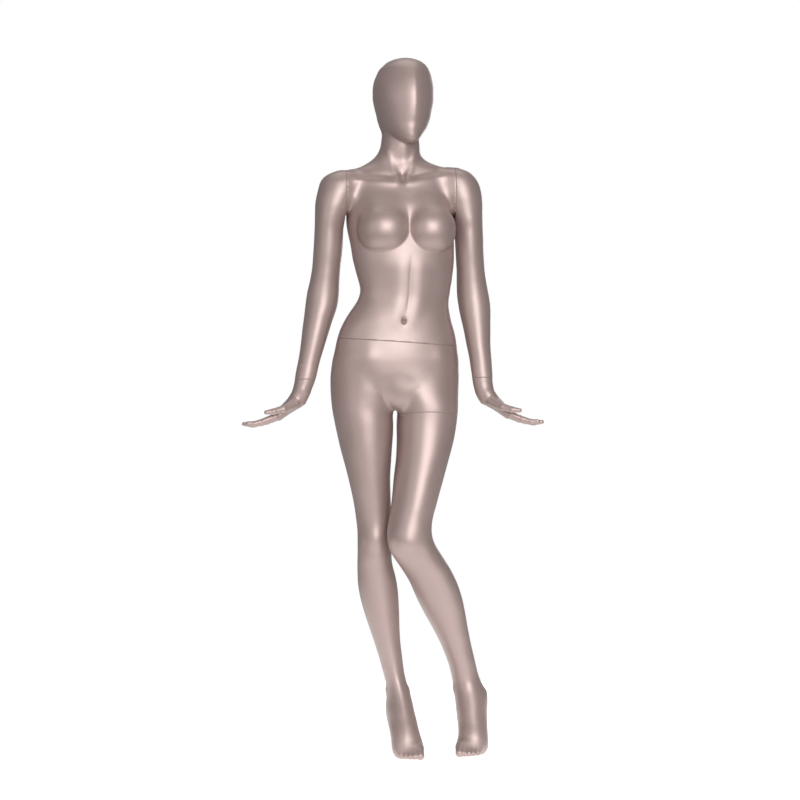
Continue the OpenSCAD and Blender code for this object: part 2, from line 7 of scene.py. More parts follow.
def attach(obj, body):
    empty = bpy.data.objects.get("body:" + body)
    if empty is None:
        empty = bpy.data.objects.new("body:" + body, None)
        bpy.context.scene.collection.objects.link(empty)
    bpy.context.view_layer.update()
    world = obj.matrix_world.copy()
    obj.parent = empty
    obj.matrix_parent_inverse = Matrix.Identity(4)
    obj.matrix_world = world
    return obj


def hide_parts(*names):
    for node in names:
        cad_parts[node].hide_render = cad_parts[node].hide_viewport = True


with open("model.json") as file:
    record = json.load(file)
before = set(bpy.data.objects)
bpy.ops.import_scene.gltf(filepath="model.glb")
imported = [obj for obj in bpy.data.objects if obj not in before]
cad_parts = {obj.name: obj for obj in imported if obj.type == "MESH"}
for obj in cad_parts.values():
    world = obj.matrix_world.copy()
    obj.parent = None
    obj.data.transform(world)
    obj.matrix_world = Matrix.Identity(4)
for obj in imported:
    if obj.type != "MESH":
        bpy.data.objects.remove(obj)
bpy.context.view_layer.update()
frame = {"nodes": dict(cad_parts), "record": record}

MM = 0.001
rad = math.radians

# ------------------------------------------------------------------ camera, floor, lights
scene = bpy.context.scene
cam_data = bpy.data.cameras.new("camera")
cam_data.lens = 86.76
cam_data.sensor_width = 36.0
cam_data.clip_start, cam_data.clip_end = 0.1, 100.0
cam = bpy.data.objects.new("camera", cam_data)
cam.location = (0.02425, -5.0, 0.9156)
cam.rotation_euler = (math.pi / 2, 0, 0)
scene.collection.objects.link(cam)
scene.camera = cam


def clean_node_material(name):
    m = bpy.data.materials.new(name)
    m.use_nodes = True
    nt = m.node_tree
    nt.nodes.clear()
    out = nt.nodes.new("ShaderNodeOutputMaterial")
    b = nt.nodes.new("ShaderNodeBsdfPrincipled")
    nt.links.new(b.outputs[0], out.inputs[0])
    return m, nt, b


def area_light(name, loc, target, size, power, color=(1, 1, 1), size_y=None):
    d = bpy.data.lights.new(name, "AREA")
    d.energy = power
    d.color = color
    d.shape = "RECTANGLE" if size_y else "SQUARE"
    d.size = size
    if size_y:
        d.size_y = size_y
    o = bpy.data.objects.new(name, d)
    o.location = loc
    o.rotation_mode = "QUATERNION"
    o.rotation_quaternion = (Vector(target) - Vector(loc)).to_track_quat("-Z", "Y")
    scene.collection.objects.link(o)
    return o


# ------------------------------------------------------------------ sections, in mm
# [height, right edge x, left edge x, front y, back y, squareness, turn in degrees]
TRUNK = [
    [850, -144, 170, -76, 98, 2.2, 8], [880, -150, 173.5, -79, 104, 2.2, 8], [900, -153, 174.5, -80, 110, 2.2, 8],
    [920, -155, 175.5, -81, 115, 2.25, 8], [945, -156, 176, -83, 117, 2.3, 8], [970, -156, 177, -85, 115, 2.3, 8],
    [1000, -153, 176, -87, 107, 2.3, 8], [1020, -150, 176, -88, 100, 2.3, 8], [1040, -145, 173, -88, 92, 2.2, 8],
    [1060, -141, 171, -87, 86, 2.2, 8], [1080, -136, 168, -86, 80, 2.2, 8], [1100, -129, 163, -86, 75, 2.2, 8],
    [1120, -119, 157, -86, 70, 2.15, 8], [1140, -107, 153, -85, 67, 2.1, 8], [1160, -93, 150, -84, 64, 2.1, 8],
    [1180, -82, 151, -83, 62, 2.1, 8], [1200, -78, 154, -84, 62, 2.1, 8], [1220, -82, 157.5, -86, 65, 2.1, 8],
    [1240, -88, 160, -88, 69, 2.1, 8], [1260, -93, 162.5, -90, 73, 2.1, 8], [1280, -98, 164, -91, 77, 2.1, 8],
    [1300, -101, 164, -91, 81, 2.1, 8], [1320, -104.5, 164, -90, 85, 2.15, 8], [1340, -109, 163, -88, 89, 2.2, 8],
    [1360, -113, 162, -86, 92, 2.2, 8], [1385, -115, 161, -84, 96, 2.2, 8], [1410, -114, 162, -80, 99, 2.25, 8],
    [1440, -112, 163, -72, 99, 2.3, 8], [1465, -111, 163, -62, 97, 2.3, 8], [1485, -110, 164, -54, 91, 2.25, 8],
    [1497, -108, 165, -48.5, 85, 2.2, 8], [1506, -105, 166, -45, 79, 2.1, 8], [1513, -96, 160, -43, 74, 2.0, 8],
    [1520, -77, 140, -42, 70, 2.0, 8], [1530, -60, 105, -42, 66, 2.0, 8], [1540, -46, 88, -43.5, 63, 2.0, 8],
    [1550, -37, 79, -46, 61, 2.0, 9], [1560, -31, 76, -48, 60, 2.0, 10], [1570, -27, 75.5, -50, 58, 2.0, 11],
    [1580, -25, 75, -51, 56, 2.0, 12], [1600, -23, 73, -55, 52, 2.0, 14], [1640, -20, 70, -60, 48, 2.0, 16]]
HEAD = [
    [1574, 46, 61, -82, -64, 2.0, 18], [1577, 36, 67, -90, -48, 2.0, 18], [1583, 23, 73, -96, -26, 2.0, 18],
    [1591, 9, 78, -99, -4, 2.0, 18], [1600, -3, 83, -101, 17, 2.0, 18], [1610, -14, 90, -103, 38, 2.0, 18], [1620, -23, 95, -104, 54, 2.0, 18],
    [1640, -33, 102, -109, 75, 2.0, 18], [1660, -39, 106, -113, 86, 2.0, 18], [1680, -44, 110, -115, 92, 2.0, 18],
    [1700, -47, 111, -115, 95, 2.0, 18], [1720, -47, 111, -112, 95, 2.0, 18], [1740, -44, 108, -106, 91, 2.0, 18],
    [1760, -36, 103, -96, 83, 2.0, 18], [1770, -31, 98, -89, 77, 2.0, 18], [1780, -21, 91, -79, 68, 2.0, 18],
    [1790, -9, 77, -62, 52, 2.0, 18], [1796, 6, 62, -44, 32, 2.0, 18], [1800, 24, 46, -20, 8, 2.0, 18]]
ARM_R = [
    [1508, -138, -104, -34, 4, 2.0, 0], [1501, -158, -84, -50, 20, 2.05, 0], [1490, -174, -79, -60, 28, 2.1, 0],
    [1480, -181, -78, -66, 34, 2.1, 0], [1465, -186, -80, -70, 38, 2.1, 0], [1440, -192, -87, -73, 40, 2.1, 0],
    [1420, -195, -96, -73, 40, 2.1, 0], [1400, -195.5, -106, -71, 39, 2.1, 0], [1380, -196, -116, -68, 38, 2.1, 0],
    [1360, -196.5, -122, -64, 37, 2.05, 0], [1340, -197.5, -122.5, -61, 36, 2.0, 0], [1300, -200, -125, -56, 36, 2.0, 0],
    [1260, -203, -130, -50, 36, 2.0, 0], [1240, -206, -131.5, -48, 36, 2.0, 0], [1220, -210, -133, -46, 37, 2.0, 0],
    [1200, -215, -133.5, -45, 38, 2.0, 0], [1180, -218.5, -135, -45, 39, 2.0, 0], [1160, -221, -138, -47, 38, 2.0, 0],
    [1140, -223, -144, -49, 34, 2.0, 0], [1120, -225.5, -151, -50, 29, 2.0, 0], [1100, -228, -157, -52, 24, 2.0, 0],
    [1060, -232, -169, -55, 13, 2.0, 0], [1020, -237.5, -181, -58, 1, 2.0, 0], [1000, -241.5, -186, -60, -6, 2.0, 0],
    [980, -245, -190, -63, -13, 2.0, 0], [960, -247.5, -196, -64, -16, 2.0, 0], [943, -249.5, -203, -64, -17, 2.0, 0],
    [930, -253.5, -209, -62, -20, 2.0, 0], [918, -257, -214, -58, -24, 2.0, 0], [908, -257, -220, -52, -30, 2.0, 0]]
ARM_L = [
    [1519, 148, 178, 2, 42, 2.0, 0], [1512, 128, 199, -16, 58, 2.05, 0], [1502, 122, 213, -26, 66, 2.1, 0],
    [1490, 121, 223, -32, 72, 2.1, 0], [1480, 122, 229, -34, 74, 2.1, 0], [1465, 125, 234, -36, 76, 2.1, 0],
    [1440, 134, 238, -37, 76, 2.1, 0], [1420, 142, 239, -35, 75, 2.1, 0], [1400, 151, 239, -33, 74, 2.1, 0],
    [1380, 160, 239.5, -31, 73, 2.1, 0], [1360, 165, 240, -27, 72, 2.05, 0], [1340, 166.5, 241, -25, 72, 2.0, 0],
    [1300, 169, 242, -20, 72, 2.0, 0], [1260, 171.5, 244.5, -14, 72, 2.0, 0], [1240, 172, 247, -12, 72, 2.0, 0],
    [1220, 172, 250, -10, 73, 2.0, 0], [1200, 172.5, 254, -9, 74, 2.0, 0], [1180, 174, 257.5, -9, 75, 2.0, 0],
    [1160, 177, 260, -11, 74, 2.0, 0], [1140, 180.5, 260.5, -13, 70, 2.0, 0], [1120, 185, 260, -14, 65, 2.0, 0],
    [1100, 189.5, 260, -16, 60, 2.0, 0], [1060, 197, 259.5, -19, 49, 2.0, 0], [1020, 205, 262, -22, 37, 2.0, 0],
    [1000, 207.5, 263, -24, 30, 2.0, 0], [980, 210.5, 264, -27, 23, 2.0, 0], [960, 213, 264, -28, 20, 2.0, 0],
    [943, 217, 264, -28, 19, 2.0, 0], [930, 221, 266, -26, 17, 2.0, 0], [918, 227, 270, -22, 13, 2.0, 0],
    [908, 235, 270, -16, 7, 2.0, 0]]
LEG_R = [
    [0, 16, 80, -80, -42, 2.2, 15], [4, 9, 86, -86, -34, 2.3, 15], [12, 5, 87, -88, -27, 2.3, 15],
    [24, 3.5, 86, -89, -20, 2.3, 15], [40, 2, 81, -86, -6, 2.2, 15], [60, -2, 74, -79, 18, 2.15, 15],
    [80, -8, 69, -68, 52, 2.1, 14], [92, -11, 66, -60, 72, 2.1, 13], [105, -13, 62, -52, 80, 2.1, 12],
    [120, -13, 59, -43, 82, 2.05, 12], [140, -11, 54, -31, 79, 2.0, 11], [160, -11, 48, -21, 74, 2.0, 10],
    [180, -13, 41, -13, 70, 2.0, 9], [200, -18, 36, -9, 69, 2.0, 8], [220, -24, 33, -8, 70, 2.0, 7],
    [240, -29, 30.5, -8, 71, 2.0, 6], [260, -35.5, 28, -10, 74, 2.0, 5], [280, -41.5, 25.5, -11, 78, 2.0, 5],
    [300, -48.5, 24, -13, 82, 2.0, 4], [320, -55, 23, -15, 87, 2.0, 4], [340, -62, 22.5, -18, 92, 2.0, 3],
    [360, -68.5, 22, -20, 97, 2.0, 3], [380, -74.5, 21, -22, 100, 2.0, 3], [400, -79.5, 20, -24, 102, 2.0, 3],
    [420, -83.5, 18.5, -26, 101, 2.0, 3], [440, -86, 15.5, -28, 98, 2.0, 3], [460, -86.5, 11.5, -31, 92, 2.0, 3],
    [480, -87, 6, -34, 84, 2.0, 3], [500, -86.5, 2.5, -38, 75, 2.05, 3], [520, -86, 2, -42, 68, 2.1, 3],
    [540, -86, 2.5, -46, 65, 2.1, 3], [560, -86, 2.5, -48, 64, 2.1, 3], [580, -86.5, 2, -48, 66, 2.05, 3],
    [600, -89, 1.5, -49, 68, 2.0, 4], [620, -91.5, 1, -51, 70, 2.0, 4], [640, -94.5, 0.5, -54, 71, 2.0, 4],
    [660, -98, 0, -57, 72, 2.0, 5], [680, -102.5, -0.5, -61, 74, 2.0, 5], [700, -107, -1, -64, 76, 2.0, 5],
    [720, -112, -1, -67, 79, 2.0, 6], [740, -117, 0, -69, 82, 2.05, 6], [760, -122.5, 1.5, -72, 85, 2.05, 6],
    [780, -128, 2.5, -74, 88, 2.1, 6], [800, -133, 4, -76, 91, 2.1, 6], [820, -137.5, 5.5, -77, 94, 2.1, 7],
    [840, -142, 6.5, -78, 97, 2.1, 7], [860, -146, 6.5, -79, 100, 2.1, 8], [880, -150, 5, -79, 103, 2.15, 8],
    [893, -152, 8, -79, 106, 2.2, 8], [910, -154, 16, -80, 109, 2.2, 8], [930, -155.5, 26, -81, 111, 2.2, 8],
    [980, -156, 40, -84, 110, 2.2, 8], [1030, -152, 60, -86, 100, 2.2, 8]]
LEG_L = [
    [0, 174, 240, -34, 8, 2.2, 0], [4, 167, 249, -41, 16, 2.3, 0], [12, 166, 252, -44, 22, 2.3, 0],
    [24, 169, 253, -45, 30, 2.3, 0], [40, 175, 253, -42, 44, 2.2, 0], [60, 176, 252, -34, 68, 2.15, 0],
    [80, 174, 252, -21, 98, 2.1, 2], [92, 172.5, 252, -15, 115, 2.1, 0], [105, 171, 253, -8, 122, 2.1, -2],
    [120, 170, 254.5, 0, 124, 2.05, -3], [140, 167, 253, 10, 121, 2.0, -3], [160, 165, 245, 20, 115, 2.0, -2],
    [180, 162, 235, 25, 109, 2.0, 0], [200, 158, 228, 24, 105, 2.0, 0], [220, 153, 223.5, 20, 103, 2.0, 0],
    [240, 146, 219, 15, 102, 2.0, 0], [260, 138, 214, 10, 103, 2.0, 0], [280, 130, 209.5, 4, 104, 2.0, 0],
    [300, 120, 205.5, -4, 105, 2.0, 2], [320, 109.5, 201.5, -12, 105, 2.0, 3], [340, 98.5, 198, -20, 104, 2.0, 5],
    [360, 87.5, 194.5, -30, 102, 2.0, 6], [380, 77.5, 190.5, -40, 97, 2.0, 8], [400, 68, 186, -50, 91, 2.0, 8],
    [420, 59.5, 180, -60, 82, 2.0, 8], [440, 51.5, 173, -71, 70, 2.0, 8], [460, 41, 164, -82, 56, 2.0, 8],
    [480, 29, 154, -94, 40, 2.05, 8], [500, 16, 142, -104, 22, 2.1, 8], [520, 3, 129.5, -113, 6, 2.1, 8],
    [540, -5, 117, -120, -4, 2.1, 8], [560, -8.5, 108, -124, -8, 2.1, 8], [580, -8.5, 105, -124, -4, 2.1, 8],
    [600, -6, 106, -121, 6, 2.05, 8], [620, -2.5, 110, -118, 15, 2.0, 8], [640, 0.5, 116, -116, 23, 2.0, 8],
    [660, 3, 121.5, -113, 31, 2.0, 8], [680, 5, 127, -110, 38, 2.0, 8], [700, 6.5, 133, -106, 46, 2.0, 8],
    [720, 8.5, 138.5, -103, 53, 2.0, 8], [740, 11, 144, -99, 60, 2.05, 8], [760, 13.5, 149.5, -96, 67, 2.05, 8],
    [780, 15, 155, -92, 73, 2.1, 8], [800, 15.5, 160.5, -88, 80, 2.1, 8], [820, 16, 165, -85, 86, 2.1, 8],
    [840, 15.5, 168.5, -82, 92, 2.1, 8], [860, 15.5, 171.5, -80, 98, 2.1, 8], [880, 16.5, 173.5, -79, 103, 2.15, 8],
    [893, 14, 174.3, -79, 106, 2.2, 8], [910, 7, 175, -80, 109, 2.2, 8], [930, -4, 175.7, -81, 111, 2.2, 8],
    [980, -20, 177, -84, 110, 2.2, 8], [1030, -34, 176, -86, 100, 2.2, 8]]


class Loft:
    """Field of a stack of turned ovals: negative inside, about a distance in mm near the surface."""

    def __init__(self, rows, blur=5.0):
        t = np.array(sorted(rows), float)
        z = t[:, 0]
        grid = np.arange(z[0], z[-1] + 0.5, 1.0)
        cols = [(t[:, 1] + t[:, 2]) / 2, (t[:, 3] + t[:, 4]) / 2, (t[:, 2] - t[:, 1]) / 2, (t[:, 4] - t[:, 3]) / 2, t[:, 5], t[:, 6]]
        out = []
        for c in cols:
            m = np.gradient(c, z)
            h = np.diff(z)
            d = np.diff(c) / h
            for i in range(len(d)):   # keep the slopes from overshooting
                for j in (i, i + 1):
                    if d[i] == 0 or m[j] * d[i] < 0:
                        m[j] = 0.0 if d[i] == 0 else m[j] * 0.2
                    else:
                        m[j] = math.copysign(min(abs(m[j]), 3 * abs(d[i])), m[j]) if d[i] else 0.0
            i = np.clip(np.searchsorted(z, grid, "right") - 1, 0, len(h) - 1)
            s = (grid - z[i]) / h[i]
            v = ((2 * s**3 - 3 * s**2 + 1) * c[i] + (s**3 - 2 * s**2 + s) * h[i] * m[i]
                 + (-2 * s**3 + 3 * s**2) * c[i + 1] + (s**3 - s**2) * h[i] * m[i + 1])
            if blur:
                k = np.arange(-int(3 * blur), int(3 * blur) + 1)
                w = np.exp(-(k / blur) ** 2 / 2)
                w /= w.sum()
                n = len(k) // 2
                lo = 2 * v[0] - v[n:0:-1] if len(v) > n else np.full(n, v[0])
                hi = 2 * v[-1] - v[-2:-n - 2:-1] if len(v) > n else np.full(n, v[-1])
                v = np.convolve(np.concatenate([lo, v, hi]), w, "valid")
            out.append(v)
        cx, cy, ex, ey, n, turn = out
        a = np.radians(turn)
        w = np.sqrt(np.maximum(ex**2 - (ey * np.sin(a)) ** 2, (0.5 * ex) ** 2)) / np.cos(a)
        self.z0, self.z1 = float(z[0]), float(z[-1])
        self.t = np.stack([cx, cy, np.maximum(w, 0.5), np.maximum(ey, 0.5), n, np.cos(a), np.sin(a)], 1)
        self.reach = float(max(w.max(), ey.max()))

    def local(self, P):
        z = np.clip(P[:, 2], self.z0, self.z1) - self.z0
        i = np.minimum(z.astype(int), len(self.t) - 2)
        s = (z - i)[:, None]
        r = self.t[i] * (1 - s) + self.t[i + 1] * s
        dx, dy = P[:, 0] - r[:, 0], P[:, 1] - r[:, 1]
        return dx * r[:, 5] + dy * r[:, 6], -dx * r[:, 6] + dy * r[:, 5], r

    def __call__(self, P):
        u, v, r = self.local(P)
        n = r[:, 4]
        rho = (np.abs(u / r[:, 2]) ** n + np.abs(v / r[:, 3]) ** n) ** (1 / n)
        dist = np.hypot(u, v)
        f = np.where(rho > 1e-3, dist * (1 - 1 / np.maximum(rho, 1e-3)), -np.minimum(r[:, 2], r[:, 3]))
        over = np.maximum(self.z0 - P[:, 2], P[:, 2] - self.z1)
        return np.where(over > 0, np.hypot(np.maximum(f, 0), over), np.maximum(f, over))


def smin(a, b, k):
    h = np.maximum(k - np.abs(a - b), 0) / np.maximum(k, 1e-6)
    return np.minimum(a, b) - h * h * k * 0.25


def smax(a, b, k):
    return -smin(-a, -b, k)


def step(x, lo, hi):
    t = np.clip((x - lo) / (hi - lo), 0, 1)
    return t * t * (3 - 2 * t)


def ellipsoid(P, c, r, turn=0.0):
    a = rad(turn)
    d = P - np.array(c, float)
    u = d[:, 0] * math.cos(a) + d[:, 1] * math.sin(a)
    v = -d[:, 0] * math.sin(a) + d[:, 1] * math.cos(a)
    q = np.stack([u / r[0], v / r[1], d[:, 2] / r[2]], 1)
    k0 = np.linalg.norm(q, axis=1)
    k1 = np.linalg.norm(q / np.array(r, float), axis=1)
    return k0 * (k0 - 1) / np.maximum(k1, 1e-9)


def cone(P, a, b, ra, rb):
    a, b = np.array(a, float), np.array(b, float)
    ab = b - a
    t = np.clip(((P - a) @ ab) / (ab @ ab), 0, 1)
    return np.linalg.norm(P - a - t[:, None] * ab, axis=1) - (ra + (rb - ra) * t)


def blob(P, c, s):
    """A soft bump, 1 at c, that fades over s = (x, y, z)."""
    d = (P - np.array(c, float)) / np.array(s, float)
    return np.exp(-(d * d).sum(1))


def ridge(P, a, b, s):
    """A soft bump along the line from a to b."""
    a, b = np.array(a, float), np.array(b, float)
    ab = b - a
    t = np.clip(((P - a) @ ab) / (ab @ ab), 0, 1)
    d = np.linalg.norm(P - a - t[:, None] * ab, axis=1)
    return np.exp(-(d / s) ** 2)


trunk, head = Loft(TRUNK), Loft(HEAD, blur=3.0)
arm = {"r": Loft(ARM_R), "l": Loft(ARM_L)}
leg = {"r": Loft(LEG_R, blur=8.0), "l": Loft(LEG_L, blur=8.0)}

# parting planes: a point, and the way the far piece comes off
WAIST = (np.array([15, 0, 1065.0]), np.array([math.sin(rad(3.7)), 0, math.cos(rad(3.7))]))
SHOULDER = {"r": (np.array([-121, -16, 1443.0]), np.array([-math.cos(rad(12)), -math.sin(rad(12)), 0])),
            "l": (np.array([165, 20, 1459.0]), np.array([math.cos(rad(4)), math.sin(rad(4)), 0]))}
WRIST = {"r": (np.array([-223, -40, 969.0]), np.array([0, 0, -1.0])), "l": (np.array([238, -4, 974.0]), np.array([0, 0, -1.0]))}
THIGH = (np.array([93, 12, 875.0]), np.array([0, -math.sin(rad(6)), -math.cos(rad(6))]))


# ------------------------------------------------------------------ the figure's form
def trunk_frame(P):
    """Sideways and front-to-back places in the trunk's own turned frame, in mm."""
    a = rad(8)
    dx, dy = P[:, 0] - 22.0, P[:, 1]
    return dx * math.cos(a) + dy * math.sin(a), -dx * math.sin(a) + dy * math.cos(a)


def line2(P, a, b, s):
    """A soft ridge along a line seen from the front: 1 on the line from a to b, each (x, z), fading over s."""
    a, b = np.array(a, float), np.array(b, float)
    Q = P[:, [0, 2]]
    ab = b - a
    t = np.clip(((Q - a) @ ab) / (ab @ ab), 0, 1)
    d = np.linalg.norm(Q - a - t[:, None] * ab, axis=1)
    return np.exp(-(d / s) ** 2)


def cushion(P, c, r, n, turn):
    """An ellipsoid squarer in its own sideways-and-up plane, by the power n."""
    a = rad(turn)
    d = P - np.array(c, float)
    u = d[:, 0] * math.cos(a) + d[:, 1] * math.sin(a)
    v = -d[:, 0] * math.sin(a) + d[:, 1] * math.cos(a)
    q = (np.abs(u / r[0]) ** n + np.abs(d[:, 2] / r[2]) ** n) ** (2 / n) + (v / r[1]) ** 2
    k0 = np.sqrt(q)
    dist = np.linalg.norm(d, axis=1)
    return dist * (1 - 1 / np.maximum(k0, 1e-3))


def front_detail(P, f):
    u, v = trunk_frame(P)
    z = P[:, 2]
    front = step(-v, 10, 50)
    mid = np.interp(z, [1100, 1116, 1144, 1187, 1250, 1290], [0, 2, 9.5, 16, 18, 21])
    g = np.zeros(len(P))
    # middle line of the belly, from the ribs to the navel
    g += 1.0 * np.exp(-((u - mid) / 5) ** 2) * step(z, 1128, 1165) * (1 - step(z, 1230, 1300)) * front
    # a soft column at each side of it
    g -= 2.0 * np.exp(-((np.abs(u - mid) - 24) / 20) ** 2) * step(z, 1085, 1150) * (1 - step(z, 1240, 1300)) * front
    # flanks a little hollow beside them
    g += 2.0 * np.exp(-((np.abs(u - mid) - 68) / 22) ** 2) * step(z, 1120, 1170) * (1 - step(z, 1225, 1270)) * front
    # lower belly, full below the navel, and the hip bones
    g -= 1.2 * np.exp(-((u - 4) / 60) ** 2 - ((z - 1035) / 60) ** 2) * front
    for s in (-1, 1):
        g -= 4.5 * np.exp(-((u - (6 + s * 98)) / 26) ** 2 - ((z - 1030) / 34) ** 2) * step(-v, -20, 20)
    # navel, with a small rim
    nx, nz = u - 1.0, z - 1117
    g += (7.5 * np.exp(-(nx / 4.2) ** 2 - (nz / 6.2) ** 2) + 1.0 * np.exp(-(nx / 12) ** 2 - (nz / 15) ** 2)) * front
    return f + g


def torso_field(P):
    f = trunk(P)
    u, v = trunk_frame(P)
    z = P[:, 2]
    f = front_detail(P, f)
    chest = step(-v, 5, 45)
    # breasts, with a crease under and between, running out upwards into the chest
    for c, r in (((-16, -58, 1353), (70, 64, 66)), ((102, -43, 1353), (66, 64, 66))):
        b = cushion(P, c, r, 2.15, 8)
        f = smin(f, b, 3.0 + 36 * step(z, 1360, 1440))
    # shoulder blades, spine
    back = step(v, 10, 50)
    for s in (-1, 1):
        f = f - 5.0 * np.exp(-((u - s * 66) / 34) ** 2 - ((z - 1405) / 52) ** 2) * back
        f = f - 3.0 * np.exp(-((u - s * 26) / 18) ** 2) * back * step(z, 1080, 1130) * (1 - step(z, 1230, 1330))
    f = f + 6.0 * np.exp(-(u / 12) ** 2) * back * step(z, 1020, 1100) * (1 - step(z, 1430, 1500))
    # shoulders run into the arms
    for s in "rl":
        top = 1383 if s == "r" else 1400
        p0, n = SHOULDER[s]
        a = arm[s](P) + 36 * (1 - step(z, top - 13, top + (22 if s == "r" else 2)))
        f = smin(f, a, 1 + 31 * step(z, top, top + 60))
    # neck cords that meet at the pit
    upper = step(z, 1440, 1470) * (1 - step(z, 1560, 1590)) * chest
    f = f - 2.4 * (line2(P, (13, 1490), (-9, 1556), 9.0) + line2(P, (46, 1490), (66, 1556), 9.0)) * upper
    f = f - 1.5 * line2(P, (34, 1520), (38, 1575), 12.0) * upper
    # collar bones: a hollow above, a rounded bone below
    f = f + 2.8 * (line2(P, (-58, 1493), (6, 1489), 9.0) + line2(P, (54, 1489), (122, 1507), 9.0)) * upper
    f = f - 2.2 * (line2(P, (-84, 1480), (10, 1474), 11.0) + line2(P, (48, 1474), (132, 1492), 11.0)) * upper
    f = f + 4.5 * line2(P, (30, 1494), (32, 1482), 8.5) * upper
    # a slight hollow below them
    f = f + 1.6 * (line2(P, (-70, 1450), (4, 1446), 22.0) + line2(P, (56, 1446), (120, 1456), 22.0)) * chest
    h = head_shape(P)
    jaw = step(P[:, 1], -60, 10)
    return smin(f, h, 3 + 24 * jaw)


def head_shape(P):
    """The egg of the head: its sections are pointed at the front, which makes the ridge down the face."""
    u, v, r = head.local(P)
    z = P[:, 2]
    w, d = r[:, 2], r[:, 3]
    a = np.maximum(np.abs(u / w), 1e-9)
    b = np.abs(v / d)
    k = np.sqrt(a * a + b * b)
    sharp = (0.3 + 0.7 * step(z, 1600, 1690)) * step(z, 1578, 1610) * (1 - step(z, 1735, 1795)) * step(-v / d / np.maximum(k, 1e-3), 0.1, 1.0)
    p = 2.0 - 0.45 * sharp
    for _ in range(3):
        k = np.maximum(k, 1e-3)
        k = k * np.sqrt((a / k) ** p + (b / k) ** 2)
    dist = np.hypot(u, v)
    f = dist * (1 - 1 / np.maximum(k, 1e-3))
    over = np.maximum(head.z0 - z, z - head.z1)
    return np.where(over > 0, np.hypot(np.maximum(f, 0), over), np.maximum(f, over))


def leg_detail(P, f, s):
    z = P[:, 2]
    if s == "r":
        f = f - 4.0 * blob(P, (-40, -50, 556), (24, 30, 26))          # kneecap
        f = f + 2.0 * blob(P, (-66, -40, 540), (12, 20, 20)) + 2.0 * blob(P, (-14, -40, 540), (12, 20, 20))
        f = f - 2.5 * blob(P, (-38, -42, 508), (14, 20, 16))
        f = f + 2.5 * ridge(P, (-40, 66, 540), (-40, 72, 575), 22.0)   # hollow of the knee
        f = f - 3.0 * blob(P, (-14, 26, 158), (8, 14, 13)) - 3.0 * blob(P, (46, 14, 164), (8, 14, 13))  # ankle bones
    else:
        f = f - 4.0 * blob(P, (42, -126, 552), (26, 30, 28))
        f = f + 2.0 * blob(P, (10, -110, 540), (12, 20, 20)) + 2.0 * blob(P, (78, -108, 528), (14, 20, 22))
        f = f - 2.5 * blob(P, (52, -116, 505), (15, 20, 16))
        f = f - 3.0 * blob(P, (250, 66, 150), (9, 14, 13)) - 3.0 * blob(P, (166, 58, 158), (8, 14, 13))
    return f


TOES = {
    "r": [((70, -78, 22), (76, -101, 11), 15, 10.5), ((59, -79, 23), (61, -104, 10), 11, 7.6), ((49, -77, 22), (50, -101, 9.5), 10.5, 7.2),
          ((39, -73, 20), (39, -96, 9), 10, 6.8), ((29, -67, 18), (28, -88, 8.5), 9.5, 6.5)],
    "l": [((182, -37, 22), (177, -60, 11), 15, 10.5), ((194, -38, 23), (191, -62, 10), 11, 7.6), ((204, -36, 22), (202, -59, 9.5), 10.5, 7.2),
          ((214, -32, 20), (213, -54, 9), 10, 6.8), ((224, -26, 18), (224, -46, 8.5), 9.5, 6.5)]}


def foot_field(P, f, s):
    near = P[:, 2] < 70
    if not near.any():
        return f
    Q = P[near]
    g = f[near]
    toes = None
    for a, b, ra, rb in TOES[s]:
        c = cone(Q, a, b, ra, rb)
        toes = c if toes is None else smin(toes, c, 5.0)
    g = smin(g, toes, 16.0)
    g = smax(g, -Q[:, 2], 3.0)
    if s == "r":   # the way in for the floor spigot
        g = np.maximum(g, np.minimum(8.8 - np.hypot(Q[:, 0] - 44, Q[:, 1] + 62), 46 - Q[:, 2]))
    f = f.copy()
    f[near] = g
    return f


KNUCKLES = [(72, -29, -96), (79, -10, -99), (77, 9, -100), (70, 26, -99)]
MIDDLES = [(101, -35, -108), (111, -12, -111), (108, 11, -112), (96, 31, -110)]
ENDS = [(123, -39, -114), (133, -13, -117), (129, 13, -117), (113, 34, -115)]
TIPS = [(141, -42, -113), (153, -14, -115), (148, 14, -116), (127, 36, -117)]


def hand_local(P, s):
    d = P - (np.array([-223, -40, 969.0]) if s == "r" else np.array([238, -4, 974.0]))
    if s == "r":
        d = d * np.array([-1, 1, 1.0])
    return d


def hand_field(P, s):
    Q = hand_local(P, s)
    f = cone(Q, (6, 0, -30), (16, 0, -50), 20, 18)
    for y0, y1, x1 in ((-5, -25, 68), (-2, -9, 74), (3, 8, 73), (7, 22, 66)):
        f = smin(f, cone(Q, (18, y0, -54), (x1, y1, -97), 16.5, 10.0), 9)
    for i in range(4):
        r = (8.8, 7.6, 6.8, 5.2) if i < 3 else (8.0, 6.8, 6.0, 4.6)
        g = cone(Q, KNUCKLES[i], MIDDLES[i], r[0], r[1])
        g = smin(g, cone(Q, MIDDLES[i], ENDS[i], r[1], r[2]), 2.5)
        g = smin(g, cone(Q, ENDS[i], TIPS[i], r[2], r[3]), 2.5)
        f = smin(f, g, 3.0)
    th = cone(Q, (24, -16, -62), (50, -40, -76), 14, 9.5)
    th = smin(th, cone(Q, (50, -40, -76), (74, -51, -83), 9.5, 8.0), 2.5)
    th = smin(th, cone(Q, (74, -51, -83), (93, -55, -85), 8.0, 5.6), 2.5)
    return smin(f, th, 6)


def arm_field(P, s):
    z = P[:, 2]
    f = arm[s](P)
    top = 1383 if s == "r" else 1400
    k = 1 + 31 * step(z, top, top + 60)
    f = np.where(z > top - 3, smin(f, trunk(P), k), f)
    return np.where(z < 985, smin(f, hand_field(P, s), 10), f)


